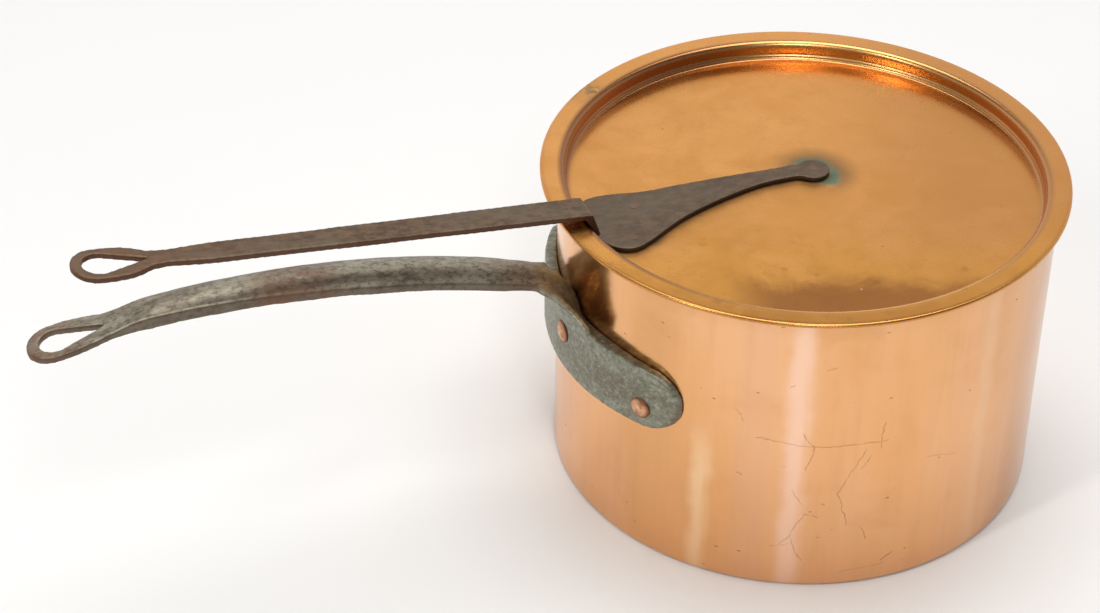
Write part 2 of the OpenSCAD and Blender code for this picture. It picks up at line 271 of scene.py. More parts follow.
def dense(points, gap):
    out = [points[0]]
    for a, b in zip(points, points[1:]):
        n = max(1, int(math.ceil(math.dist(a, b) / gap)))
        out += [(a[0] + (b[0] - a[0]) * i / n, a[1] + (b[1] - a[1]) * i / n)
                for i in range(1, n + 1)]
    return out


def new_object(name, mesh, material):
    mesh.shade_smooth()
    mesh.materials.clear()
    mesh.materials.append(material)
    ob = bpy.data.objects.new(name, mesh)
    bpy.context.scene.collection.objects.link(ob)
    return ob


def lathe(name, profile, centre, material, seg, wave=None):
    """Turns (radius, height) points in mm round an upright axis."""
    verts, rings = [], []
    for r, z in profile:
        if r < 1e-6:
            rings.append([len(verts)])
            verts.append((centre[0], centre[1], centre[2] + z))
            continue
        ring = []
        for k in range(seg):
            t = 2 * math.pi * k / seg
            dr, dz = wave(r, z, t) if wave else (0.0, 0.0)
            ring.append(len(verts))
            verts.append((centre[0] + (r + dr) * math.cos(t),
                          centre[1] + (r + dr) * math.sin(t),
                          centre[2] + z + dz))
        rings.append(ring)
    faces = []
    for a, b in zip(rings, rings[1:]):
        for k in range(seg):
            m = (k + 1) % seg
            if len(a) == 1 and len(b) == 1:
                break
            if len(a) == 1:
                faces.append((a[0], b[m], b[k]))
            elif len(b) == 1:
                faces.append((a[k], a[m], b[0]))
            else:
                faces.append((a[k], a[m], b[m], b[k]))
    mesh = bpy.data.meshes.new(name)
    mesh.from_pydata([(x * MM, y * MM, z * MM) for x, y, z in verts], [],
                     faces)
    bm = bmesh.new()
    bm.from_mesh(mesh)
    bmesh.ops.recalc_face_normals(bm, faces=bm.faces)
    bm.to_mesh(mesh)
    bm.free()
    return new_object(name, mesh, material)


def forged(name, nodes, material, voxel, rounds, shape=None, plugs=(),
           soft=(), turn=0.0):
    """The solids of CAD nodes as one skin with softened arrises, worked a
    little by shape(position in mm), which gives a push outwards in mm. Each
    (centre, radius, rounds) in soft is smoothed more. The skin's grid is
    turned about Z to lie along the piece."""
    bm = bmesh.new()
    for n in nodes:
        bm.from_mesh(NODES[n].data)
    for place, radius, depth in plugs:
        bmesh.ops.create_cone(bm, cap_ends=True, segments=32,
                              radius1=radius * MM, radius2=radius * MM,
                              depth=depth * MM,
                              matrix=Matrix.Translation(Vector(place) * MM))
    bmesh.ops.remove_doubles(bm, verts=bm.verts, dist=1e-6)
    bmesh.ops.transform(bm, matrix=Matrix.Rotation(-turn, 4, "Z"),
                        verts=bm.verts)
    mesh = bpy.data.meshes.new(name + "_raw")
    bm.to_mesh(mesh)
    bm.free()
    ob = bpy.data.objects.new(name + "_raw", mesh)
    bpy.context.scene.collection.objects.link(ob)
    m = ob.modifiers.new("skin", "REMESH")
    m.mode = "VOXEL"
    m.voxel_size = voxel * MM
    m = ob.modifiers.new("soften", "SMOOTH")
    m.factor = 0.5
    m.iterations = rounds
    view = bpy.context.evaluated_depsgraph_get()
    view.update()
    done = bpy.data.meshes.new_from_object(ob.evaluated_get(view))
    bpy.data.objects.remove(ob)
    done.name = name
    done.transform(Matrix.Rotation(turn, 4, "Z"))
    for centre, radius, more in soft:
        ob = bpy.data.objects.new(name + "_raw", done)
        bpy.context.scene.collection.objects.link(ob)
        group = ob.vertex_groups.new(name="soft")
        co = np.empty(len(done.vertices) * 3)
        done.vertices.foreach_get("co", co)
        far = np.linalg.norm(co.reshape(-1, 3) / MM - np.array(centre), axis=1)
        for i in np.nonzero(far < radius)[0]:
            w = min(1.0, 2.0 * (1 - far[i] / radius))
            group.add([int(i)], w, "REPLACE")
        m = ob.modifiers.new("soften", "SMOOTH")
        m.factor, m.iterations, m.vertex_group = 0.5, more, "soft"
        view.update()
        done = bpy.data.meshes.new_from_object(ob.evaluated_get(
            bpy.context.evaluated_depsgraph_get()))
        bpy.data.objects.remove(ob)
        done.name = name
    if shape:
        bm = bmesh.new()
        bm.from_mesh(done)
        bm.normal_update()
        moves = [v.normal * (shape(v.co / MM) * MM) for v in bm.verts]
        for v, move in zip(bm.verts, moves):
            v.co += move
        bm.to_mesh(done)
        bm.free()
    return new_object(name, done, material)


def curve(points, n=4):
    out = []
    p = [Vector(q) for q in points]
    for i in range(len(p)):
        a, b, c, d = p[i - 1], p[i], p[(i + 1) % len(p)], p[(i + 2) % len(p)]
        for k in range(n):
            t = k / n
            out.append((2 * b + (c - a) * t + (2 * a - 5 * b + 4 * c - d) * t
                        * t + (3 * b - a - 3 * c + d) * t * t * t) / 2)
    return out


def to_handle(x, y):
    """Row frame (mm) to the lid handle's own plan frame."""
    dx, dy = x - HANDLE_AT.x, y - HANDLE_AT.y
    c, s = math.cos(HANDLE_TURN), math.sin(HANDLE_TURN)
    return dx * c + dy * s, -dx * s + dy * c


def fbm(v, size, seed=0.0):
    q = Vector((v[0] / size + seed, v[1] / size - seed,
                v[2] / size + 2 * seed))
    return noise.fractal(q, 0.7, 2.0, 3)


# ------------------------------------------------------------------ copper
def pan_copper():
    m = Paint("pan_copper", 1.0, Anisotropic=0.6)
    around = m.mul(m.math("ARCTAN2", m.y, m.x), PAN_R)      # mm round the wall
    wall = m.vector(around, m.z, 0.0)
    streaks = m.grain(8.0, 4.0, 0.6, at=wall, stretch=(1.0, 16.0, 1.0))
    wide = m.grain(40.0, 3.0, 0.5, at=wall, stretch=(1.0, 5.0, 1.0), shift=4.3)
    cloud = m.grain(34.0, 5.0, 0.6, at=wall, shift=9.1, twist=0.4)
    fine = m.grain(2.4, 4.0, 0.6, at=wall, shift=1.3)
    colour = m.blend(m.step(wide, 0.35, 0.66), (0.82, 0.425, 0.185),
                     (0.86, 0.475, 0.245))
    colour = m.blend(m.mul(m.step(streaks, 0.42, 0.75), 0.45), colour,
                     (0.74, 0.385, 0.185))
    colour = m.blend(m.mul(m.step(cloud, 0.48, 0.75), 0.35), colour,
                     (0.70, 0.34, 0.14))
    # painted highlight: pinker upright stripes on the wall
    for at, half, pale, tint, lower in HIGHLIGHT_BANDS:
        off = m.add(around, m.mul(m.grain(22.0, 2.0, 0.5, at=wall, shift=at),
                                  9.0))
        off = m.math("ABSOLUTE", m.add(off, -at - 4.5))
        painted_reflection_band = m.step(off, half, half * 0.1)
        if lower:
            painted_reflection_band = m.mul(painted_reflection_band, m.step(m.z, 98.0, 58.0))
        painted_reflection_band = m.mul(painted_reflection_band, m.step(streaks, 0.15, 0.6))
        colour = m.blend(m.mul(painted_reflection_band, pale), colour, tint)
    # painted shade: browner towards the right where the wall turns away, and
    # below the top edge under the lid's flange; browner along the base too
    shaded_side = m.mul(m.step(around, -190.0, -92.0), m.step(around, 20.0, -40.0))
    colour = m.blend(m.mul(shaded_side, 0.6), colour, (0.56, 0.31, 0.165))
    low = m.step(m.add(m.z, m.mul(cloud, 16.0)), 30.0, 6.0)
    colour = m.blend(m.mul(low, 0.3), colour, (0.60, 0.34, 0.19))
    shaded_rim = m.step(m.add(m.z, m.mul(cloud, 20.0)), 155.0, 169.0)
    colour = m.blend(m.mul(shaded_rim, 0.4), colour, (0.62, 0.32, 0.13))
    # brown specks and small dark nicks
    pick = m.grain(30.0, 2.0, 0.5, at=wall, shift=21.0)
    off = m.vector(m.add(around, m.mul(fine, 2.2)), m.mul(m.z, 2.2), 0.0)
    speck = m.mul(m.step(m.spots(16.0, at=off, shift=3.7), 0.085, 0.03),
                  m.step(pick, 0.44, 0.6))
    nick = m.mul(m.step(m.spots(8.0, at=off, shift=13.9), 0.08, 0.02),
                 m.step(pick, 0.55, 0.66))
    # scratches: one long level one, branching ones, a few short ones
    bent = m.add(m.z, m.mul(m.add(m.grain(9.0, 3.0, 0.6, at=wall, shift=5.5),
                                  -0.5), 4.0))
    wob = m.add(around, m.mul(m.add(m.grain(7.0, 3.0, 0.6, at=wall,
                                            shift=7.5), -0.5), 5.0))
    lines = None
    for a, b, w, dark in SCRATCHES:
        s = m.mul(m.segment(wob, bent, a, b, w * 1.5), dark)
        lines = s if lines is None else m.top(lines, s)
    lines = m.mul(lines, m.step(fine, 0.2, 0.5))
    groove = m.grain(0.55, 2.0, 0.5, at=wall, stretch=(45.0, 1.0, 1.0),
                     shift=8.0)
    where = m.step(m.grain(6.0, 3.0, 0.6, at=wall, stretch=(6.0, 1.0, 1.0),
                           shift=28.0), 0.42, 0.7)
    dark = m.top(m.mul(m.top(speck, nick), 0.85), lines)
    colour = m.blend(m.mul(dark, 0.7), colour, (0.24, 0.10, 0.045))
    rough = m.add(m.mul(cloud, 0.12), m.mul(dark, 0.25))
    rough = m.add(rough, 0.115)
    height = m.add(m.mul(dark, -0.5), m.mul(wide, 2.5))
    height = m.add(height, m.mul(m.mul(groove, where), 0.9))
    spin = m.tree.nodes.new("ShaderNodeTangent")
    spin.direction_type = "RADIAL"
    spin.axis = "Z"
    m.tree.links.new(spin.outputs[0], m.bsdf.inputs["Tangent"])
    return m.finish(colour, rough, height, 0.5, 0.09)


def lid_copper():
    m = Paint("lid_copper", 1.0, Anisotropic=0.3)
    cloud = m.grain(38.0, 5.0, 0.62, shift=3.0, twist=0.6)
    patch = m.grain(15.0, 6.0, 0.65, shift=11.0, twist=0.3)
    fine = m.grain(3.2, 4.0, 0.6, shift=5.0)
    dust = m.grain(1.1, 3.0, 0.6, shift=15.0)
    colour = m.blend(m.step(cloud, 0.3, 0.7), (0.78, 0.35, 0.085),
                     (0.87, 0.41, 0.12))
    colour = m.blend(m.mul(m.step(patch, 0.45, 0.75), 0.4), colour,
                     (0.68, 0.29, 0.075))
    colour = m.blend(m.mul(m.step(dust, 0.5, 0.75), 0.16), colour,
                     (0.50, 0.22, 0.07))
    # painted reflection of a dim room: browner to the right; heat stains
    # towards -Y
    across = m.math("MULTIPLY_ADD", m.x, 0.93, m.mul(m.y, -0.37))
    right = m.step(m.add(across, m.mul(cloud, 50.0)), 10.0, 110.0)
    colour = m.blend(m.mul(right, 0.6), colour, (0.57, 0.25, 0.075))
    level = m.math("MULTIPLY_ADD", m.x, 0.37, m.mul(m.y, 0.93))
    near = m.step(m.add(level, m.mul(cloud, 55.0)), 0.0, -50.0)
    colour = m.blend(m.mul(near, 0.35), colour, (0.88, 0.41, 0.055))
    blot = m.mul(near, m.step(patch, 0.44, 0.74))
    colour = m.blend(m.mul(blot, 0.22), colour, (0.46, 0.20, 0.05))
    seat = m.vector(m.add(m.x, m.mul(fine, 5.0)),
                    m.add(m.y, m.mul(patch, 6.0)), 0.0)
    drop = m.mul(m.step(m.spots(13.0, at=seat, shift=2.2), 0.20, 0.10), near)
    colour = m.blend(m.mul(drop, 0.34), colour, (0.40, 0.17, 0.05))
    # painted reflection of a dim room: a dark stripe across the near part of
    # the floor, and darker towards the near edge
    inside = m.step(m.math("SQRT", m.add(m.mul(m.x, m.x), m.mul(m.y, m.y))),
                    112.0, 104.0)
    painted_reflection_band = m.step(m.add(level, m.mul(m.add(patch, cloud), 24.0)), -50.0, -68.0)
    painted_reflection_band = m.mul(painted_reflection_band, inside)
    painted_reflection_band = m.mul(painted_reflection_band, m.step(across, -46.0, -18.0))
    colour = m.blend(m.mul(painted_reflection_band, 0.8), colour, (0.36, 0.13, 0.036))
    colour = m.blend(m.mul(m.step(level, -92.0, -126.0), 0.4), colour,
                     (0.50, 0.20, 0.055))
    # around the handle: darkening along the leaf's edge, oxide plus painted
    # shade, wider on the leaf's near edge
    tarnish_and_shade = m.attribute("tarnish_and_shade")
    colour = m.blend(m.mul(tarnish_and_shade, 0.9), colour, (0.085, 0.05, 0.03))
    halo = m.attribute("halo")
    colour = m.blend(m.mul(halo, 0.8), colour, (0.16, 0.10, 0.05))
    ring = m.mul(m.attribute("verdigris"),
                 m.step(m.add(fine, patch), 0.5, 1.0))
    colour = m.blend(m.mul(ring, 0.9), colour, (0.14, 0.20, 0.14))
    # grey-green stain on the flange; painted reflection on the sunk wall: a
    # golden tint, dark maroon towards the left and darker towards the right
    stain = m.attribute("flange_stain")
    stain = m.mul(stain, m.step(fine, 0.3, 0.5))
    colour = m.blend(m.mul(stain, 0.95), colour, (0.12, 0.115, 0.075))
    wall = m.attribute("sunk_wall")
    shaded_side = m.step(m.math("MULTIPLY_ADD", m.x, -0.75, m.mul(m.y, 0.35)),
                  -20.0, 70.0)
    colour = m.blend(m.mul(wall, 0.6), colour, (0.68, 0.37, 0.145))
    colour = m.blend(m.mul(m.mul(wall, shaded_side), 0.8), colour,
                     (0.20, 0.07, 0.035))
    other = m.step(across, 55.0, 100.0)
    colour = m.blend(m.mul(m.mul(wall, other), 0.6), colour,
                     (0.36, 0.15, 0.06))
    # painted shade on the flange's rounded outer lip
    edge = m.attribute("edge")
    colour = m.blend(m.mul(edge, 0.35), colour, (0.45, 0.2, 0.08))
    pick = m.grain(26.0, 1.0, shift=31.0)
    speck = m.mul(m.step(m.spots(10.0, shift=7.0), 0.06, 0.02),
                  m.step(pick, 0.46, 0.62))
    colour = m.blend(m.mul(speck, 0.75), colour, (0.12, 0.05, 0.03))
    worn = m.mul(m.step(m.spots(27.0, shift=17.0), 0.03, 0.018),
                 m.step(pick, 0.5, 0.3))
    colour = m.blend(worn, colour, (0.95, 0.75, 0.55))
    rough = m.add(0.155, m.mul(cloud, 0.15))
    rough = m.add(rough, m.mul(m.add(tarnish_and_shade, ring), 0.3))
    rough = m.add(rough, m.mul(stain, 0.3))
    rough = m.add(rough, m.mul(dust, 0.06))
    height = m.add(m.mul(cloud, 2.0), m.mul(fine, 0.05))
    height = m.add(height, m.mul(ring, 1.2))
    hair = m.grain(0.9, 2.0, 0.5, stretch=(24.0, 1.0, 1.0), shift=1.0)
    height = m.add(height, m.mul(hair, 0.15))
    height = m.mul(height, m.add(m.mul(wall, -0.85), 1.0))
    return m.finish(colour, rough, height, 0.3, 0.06)


def tin(name):
    m = Paint(name, 1.0, Anisotropic=0.3)
    cloud = m.grain(30.0, 5.0, 0.6, shift=6.0, twist=0.5)
    fine = m.grain(2.5, 3.0, 0.6)
    around = m.mul(m.math("ARCTAN2", m.y, m.x), 118.0)
    wall = m.vector(around, m.z, 0.0)
    wipe = m.grain(2.2, 3.0, 0.5, at=wall, stretch=(18.0, 1.0, 1.0))
    colour = m.blend(m.step(cloud, 0.3, 0.7), (0.60, 0.58, 0.54),
                     (0.42, 0.40, 0.37))
    colour = m.blend(m.mul(m.step(fine, 0.55, 0.75), 0.35), colour,
                     (0.30, 0.27, 0.23))
    rough = m.add(0.30, m.mul(cloud, 0.25))
    height = m.add(m.mul(wipe, 0.4), m.mul(cloud, 1.0))
    return m.finish(colour, rough, height, 0.35, 0.08)


# -------------------------------------------------------------------- iron
def handle_iron():
    m = Paint("handle_iron", 0.82)
    along = (2.6, 1.0, 1.0)
    broad = m.grain(17.0, 5.0, 0.6, stretch=along, shift=3.3, twist=0.3)
    mottle = m.grain(5.0, 7.0, 0.7, stretch=(1.8, 1.0, 1.0), shift=8.0)
    fine = m.grain(1.0, 4.0, 0.65, shift=2.0)
    grit = m.grain(2.2, 6.0, 0.7, stretch=(1.6, 1.0, 1.0), shift=14.0)
    colour = m.blend(m.step(mottle, 0.32, 0.70), (0.215, 0.176, 0.132),
                     (0.405, 0.355, 0.268))
    colour = m.blend(m.mul(m.step(broad, 0.42, 0.66), 0.6), colour,
                     (0.420, 0.400, 0.300))
    colour = m.blend(m.mul(m.step(grit, 0.50, 0.60), 0.6), colour,
                     (0.095, 0.072, 0.052))
    colour = m.blend(m.mul(m.step(grit, 0.46, 0.36), 0.5), colour,
                     (0.43, 0.43, 0.33))
    colour = m.blend(m.mul(m.step(broad, 0.44, 0.30), 0.5), colour,
                     (0.140, 0.104, 0.075))
    # the plate is greener and paler than the bar, paler still at its edges
    plate = m.step(m.x, -148.0, -130.0)
    pale = m.blend(m.step(mottle, 0.30, 0.72), (0.19, 0.188, 0.140),
                   (0.315, 0.325, 0.255))
    mid = m.step(m.math("ABSOLUTE", m.add(m.z, -93.0)), 13.0, 3.0)
    pale = m.blend(m.mul(mid, m.mul(m.step(broad, 0.35, 0.6), 0.7)), pale,
                   (0.165, 0.142, 0.100))
    pale = m.blend(m.mul(m.step(grit, 0.50, 0.60), 0.5), pale,
                   (0.125, 0.118, 0.084))
    pale = m.blend(m.mul(m.step(grit, 0.46, 0.36), 0.45), pale,
                   (0.46, 0.50, 0.42))
    colour = m.blend(m.mul(plate, 0.9), colour, pale)
    # painted shade: darker where the bar's faces turn down, and darker still
    # on its far face; rust in the middle and at both ends
    face = m.facing()
    bar = m.step(m.x, -128.0, -150.0)
    shaded_flank = m.mul(m.step(face[2], 0.80, 0.35), bar)
    colour = m.blend(m.mul(shaded_flank, 0.72), colour, (0.098, 0.072, 0.053))
    shaded_farside = m.mul(m.step(face[1], 0.22, 0.6), bar)
    colour = m.blend(m.mul(shaded_farside, 0.8), colour, (0.062, 0.048, 0.038))
    patch = m.step(m.away((-258.0, -5.0, 158.0)), 30.0, 6.0)
    patch = m.mul(patch, m.step(mottle, 0.36, 0.56))
    root = m.mul(m.step(m.away((-146.0, 0.0, 137.0)), 26.0, 8.0),
                 m.mul(m.step(broad, 0.40, 0.56), 0.4))
    tip = m.step(m.x, -350.0, -374.0)
    rust = m.top(patch, m.top(root, m.mul(tip, m.step(mottle, 0.34, 0.56))))
    colour = m.blend(m.mul(rust, 0.6), colour, (0.20, 0.088, 0.047))
    spark = m.mul(patch, m.step(fine, 0.60, 0.72))
    colour = m.blend(m.mul(spark, 0.7), colour, (0.42, 0.16, 0.085))
    pits = m.mul(m.step(m.spots(3.4, shift=4.0), 0.17, 0.06),
                 m.step(broad, 0.45, 0.6))
    colour = m.blend(m.mul(pits, 0.6), colour, (0.05, 0.036, 0.028))
    rough = m.add(0.34, m.mul(mottle, 0.2))
    rough = m.add(rough, m.mul(rust, 0.12))
    height = m.add(m.mul(mottle, 1.0), m.mul(fine, 0.40))
    height = m.add(height, m.mul(grit, 0.5))
    height = m.add(height, m.mul(pits, -0.8))
    return m.finish(colour, rough, height, 0.45, 0.14)


def lid_iron(name="lid_iron", tint=0.0):
    m = Paint(name, 0.75)
    broad = m.grain(22.0, 4.0, 0.6, stretch=(2.0, 1.0, 1.0), shift=1.7)
    mottle = m.grain(4.0, 7.0, 0.7, stretch=(1.6, 1.0, 1.0), shift=6.0)
    fine = m.grain(0.8, 4.0, 0.65, shift=2.0)
    colour = m.blend(m.step(mottle, 0.34, 0.68), (0.082, 0.050, 0.029),
                     (0.185, 0.115, 0.067))
    colour = m.blend(m.mul(m.step(broad, 0.42, 0.68), 0.5), colour,
                     (0.160, 0.128, 0.088))
    red = m.step(m.x, -250.0, -345.0)
    colour = m.blend(m.mul(red, 0.45), colour, (0.185, 0.098, 0.055))
    # painted shade: the upright faces darker, darkest on the leaf
    face = m.facing()
    leaf = m.step(m.z, PAN_H - 3.0, PAN_H - 4.4)
    shaded_flank = m.step(face[2], 0.6, 0.1)
    shaded_side = m.blend(leaf, (0.095, 0.042, 0.026), (0.022, 0.014, 0.010))
    colour = m.blend(m.mul(shaded_flank, 0.8), colour, shaded_side)
    colour = m.blend(m.mul(leaf, 0.35), colour, (0.105, 0.082, 0.058))
    arris = m.mul(m.step(face[2], 0.97, 0.86),
                  m.step(face[2], 0.55, 0.75))
    arris = m.mul(arris, m.step(fine, 0.35, 0.65))
    colour = m.blend(m.mul(arris, 0.5), colour, (0.27, 0.20, 0.14))
    pits = m.mul(m.step(m.spots(2.6, shift=4.0), 0.15, 0.05),
                 m.step(mottle, 0.48, 0.62))
    colour = m.blend(m.mul(pits, 0.6), colour, (0.05, 0.032, 0.025))
    if tint:
        colour = m.blend(tint, colour, (0.24, 0.115, 0.07))
    rough = m.add(0.40, m.mul(mottle, 0.2))
    height = m.add(m.mul(mottle, 1.0), m.mul(fine, 0.35))
    height = m.add(height, m.mul(pits, -0.8))
    return m.finish(colour, rough, height, 0.45, 0.09)


def rivet_copper(name, centre, axis, size):
    m = Paint(name, 0.95)
    mottle = m.grain(2.6, 5.0, 0.65, shift=size)
    fine = m.grain(0.7, 3.0, 0.6, shift=2.0)
    colour = m.blend(m.step(mottle, 0.36, 0.62), (0.42, 0.19, 0.10),
                     (0.66, 0.36, 0.20))
    out = m.away(centre, axis)
    # painted shade: darker round the edge of the head
    shaded_rim = m.step(m.add(out, m.mul(mottle, 1.6)), size * 0.80, size * 1.1)
    colour = m.blend(m.mul(shaded_rim, 0.85), colour, (0.15, 0.055, 0.03))
    worn = m.mul(m.step(out, size * 0.62, size * 0.2),
                 m.step(mottle, 0.4, 0.6))
    colour = m.blend(m.mul(worn, 0.6), colour, (0.86, 0.55, 0.36))
    rough = m.add(0.26, m.mul(mottle, 0.2))
    height = m.add(mottle, m.mul(fine, 0.4))
    return m.finish(colour, rough, height, 0.5, 0.12)


# ------------------------------------------------------------------- camera
def place_camera():
    a, e, roll = CAMERA_TURN, CAMERA_TILT, CAMERA_ROLL
    back = Vector((math.sin(a) * math.cos(e), -math.cos(a) * math.cos(e),
                   math.sin(e)))
    right0 = Vector((math.cos(a), math.sin(a), 0.0))
    up0 = back.cross(right0)
    right = math.cos(roll) * right0 + math.sin(roll) * up0
    up = -math.sin(roll) * right0 + math.cos(roll) * up0
    spot = (CAMERA_AIM + CAMERA_BACK * back - CAMERA_LEFT * right
            + CAMERA_UP * up)
    data = bpy.data.cameras.new("camera")
    data.lens, data.sensor_width = CAMERA_LENS, CAMERA_SENSOR
    data.sensor_fit = "HORIZONTAL"
    data.clip_start, data.clip_end = 0.05, 60.0
    cam = bpy.data.objects.new("camera", data)
    cam.matrix_world = Matrix(((right.x, up.x, back.x, spot.x),
                               (right.y, up.y, back.y, spot.y),
                               (right.z, up.z, back.z, spot.z),
                               (0, 0, 0, 1)))
    bpy.context.scene.collection.objects.link(cam)
    bpy.context.scene.camera = cam


# -------------------------------------------------------------------- light
def soft_light(name, azimuth, elevation, distance, w, h, glow, tint=(1, 1, 1)):
    data = bpy.data.lights.new(name, "AREA")
    data.shape, data.size, data.size_y = "RECTANGLE", w, h
    data.energy = glow * math.pi * w * h
    data.color = tint
    a, e = math.radians(azimuth), math.radians(elevation)
    way = Vector((math.cos(a) * math.cos(e), math.sin(a) * math.cos(e),
                  math.sin(e)))
    ob = bpy.data.objects.new(name, data)
    ob.location = Vector((0, 0, 0.1)) + way * distance
    ob.rotation_mode = "QUATERNION"
    ob.rotation_quaternion = way.to_track_quat("Z", "Y")
    bpy.context.scene.collection.objects.link(ob)


def studio():
    bpy.context.scene.view_settings.view_transform = "Standard"
    bpy.context.scene.view_settings.look = "None"
    world = bpy.data.worlds.new("studio")
    bpy.context.scene.world = world
    world.use_nodes = True
    t = world.node_tree
    bg = t.nodes["Background"]
    way = t.nodes.new("ShaderNodeTexCoord").outputs["Generated"]

    def ramp(direction, stops):
        """Grey level from how far a ray points along a direction."""
        dot = t.nodes.new("ShaderNodeVectorMath")
        dot.operation = "DOT_PRODUCT"
        t.links.new(way, dot.inputs[0])
        dot.inputs[1].default_value = direction
        half = t.nodes.new("ShaderNodeMath")
        half.operation = "MULTIPLY_ADD"
        t.links.new(dot.outputs["Value"], half.inputs[0])
        half.inputs[1].default_value = half.inputs[2].default_value = 0.5
        r = t.nodes.new("ShaderNodeValToRGB")
        t.links.new(half.outputs[0], r.inputs[0])
        e = r.color_ramp.elements
        e[0].position = 0.5 + stops[0][0] / 2
        e[1].position = 0.5 + stops[-1][0] / 2
        e[0].color, e[1].color = [(v, v, v, 1) for v in (stops[0][1],
                                                         stops[-1][1])]
        for at, v in stops[1:-1]:
            e.new(0.5 + at / 2).color = (v, v, v, 1)
        return r.outputs[0]

    # a pale backdrop behind the pan, up to a third of the way overhead, and
    # a dimmer room above it and behind the camera
    height = ramp((0, 0, 1), ((0.0, 1.0), (0.575, 1.0), (0.615, 0.22),
                              (0.8, 0.30), (1.0, 0.4)))
    depth = ramp((0.371, 0.928, 0), ((-0.55, 0.32), (-0.05, 0.6), (0.25, 1.0)))
    both = t.nodes.new("ShaderNodeMix")
    both.data_type, both.blend_type = "RGBA", "MULTIPLY"
    both.inputs[0].default_value = 1.0
    t.links.new(height, both.inputs[6])
    t.links.new(depth, both.inputs[7])
    t.links.new(both.outputs[2], bg.inputs[0])
    bg.inputs[1].default_value = 1.0
    soft_light("over", 60, 76, 2.4, 1.7, 1.7, 3.6)
    soft_light("front", -108, 50, 1.9, 0.26, 0.8, 14.0, (1.0, 0.95, 0.93))
    soft_light("left", -160, 40, 1.9, 0.16, 0.8, 18.0, (1.0, 0.98, 0.92))
    mesh = bpy.data.meshes.new("floor")
    mesh.from_pydata([(-8, -8, 0), (8, -8, 0), (8, 8, 0), (-8, 8, 0)], [],
                     [(0, 1, 2, 3)])
    m = Paint("floor", 0.0, 0.75)
    tone = m.blend(m.grain(240.0, 3.0), (0.90, 0.90, 0.895),
                   (0.925, 0.925, 0.92))
    floor = new_object("floor", mesh, m.finish(tone))


# ---------------------------------------------------------------- the pan
def wall_wave(r, z, t):
    if z < 6 or z > PAN_H - 3:
        return 0.0, 0.0
    q = (math.cos(t) * PAN_R, math.sin(t) * PAN_R, z)
    fade = min(1.0, (z - 6) / 12, (PAN_H - 3 - z) / 12)
    return -0.14 * fade * (1 + fbm(q, 42.0)) / 1.6, 0.0


def build_pan():
    inside = PAN_R - WALL
    outer = ([(0, 0), (PAN_R - PAN_CORNER, 0)]
             + arc(PAN_R - PAN_CORNER, PAN_CORNER, PAN_CORNER, -90, 0, 8)
             + [(PAN_R, PAN_H - PAN_LIP)]
             + arc(PAN_R - PAN_LIP, PAN_H - PAN_LIP, PAN_LIP, 0, 90, 4)
             + [(inside, PAN_H)])
    inner = ([(inside, PAN_H), (inside, BASE + PAN_COVE)]
             + arc(inside - PAN_COVE, BASE + PAN_COVE, PAN_COVE, 0, -90, 6)
             + [(0, BASE)])
    body = lathe("pan_copper_body", dense(outer, 5.0) + dense(inner, 12.0)[1:],
                 (0, 0, 0), pan_copper(), seg=360, wave=wall_wave)
    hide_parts("pan_body")
    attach(body, "pan")
    bore, low = PAN_R - WALL - TIN, BASE + TIN
    lining = ([(0, low), (bore - 2.5, low)]
              + arc(bore - 2.5, low + 2.5, 2.5, -90, 0, 6)
              + [(bore, PAN_H), (bore + TIN, PAN_H)]
              + [(bore + TIN, BASE + PAN_COVE)]
              + arc(bore + TIN - PAN_COVE, BASE + PAN_COVE, PAN_COVE,
                    0, -90, 6)
              + [(0, BASE)])
    skin = lathe("pan_tin", dense(lining, 12.0), (0, 0, 0), tin("pan_tin"),
                 seg=240)
    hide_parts("pan_tin_lining")
    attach(skin, "pan")

    def work(v):
        full = (min(1.0, max(0.0, (-150 - v[0]) / 15))
                * min(1.0, max(0.0, (v[0] + 340) / 15)))
        return (0.18 * fbm(v, 22.0, 3.0) + 0.05 * fbm(v, 7.0, 7.0) - 0.06
                + 0.55 * full)

    bar = forged("pan_iron_handle", ["pan_handle"], handle_iron(), 0.55, 16,
                 work, soft=(((-134.0, 0.0, 116.0), 34.0, 40),
                       ((-150.0, 0.0, 137.0), 20.0, 20),
                       ((-346.0, 0.0, 150.0), 22.0, 30)))
    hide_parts("pan_handle")
    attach(bar, "pan")
    for name, (angle, z) in zip(("left", "centre", "right"), RIVETS):
        a = math.radians(180 + angle)
        axis = (math.cos(a), math.sin(a), 0.0)
        mat = rivet_copper("rivet_" + name, (0, 0, z), axis, 5.8)
        head = forged("pan_rivet_" + name, ["handle_rivet_" + name], mat, 0.25,
                      4, lambda v: 0.07 * fbm(v, 3.0, 5.0) - 0.05)
        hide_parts("handle_rivet_" + name)
        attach(head, "pan")


# ---------------------------------------------------------------- the lid
def lid_wave(r, z, t):
    if r > SUNK_R - 8:
        return 0.0, 0.0
    q = (r * math.cos(t), r * math.sin(t), 0.0)
    fade = min(1.0, (SUNK_R - 8 - r) / 14)
    return 0.0, -0.10 * fade * (1 + fbm(q, 48.0, 2.0)) / 1.6


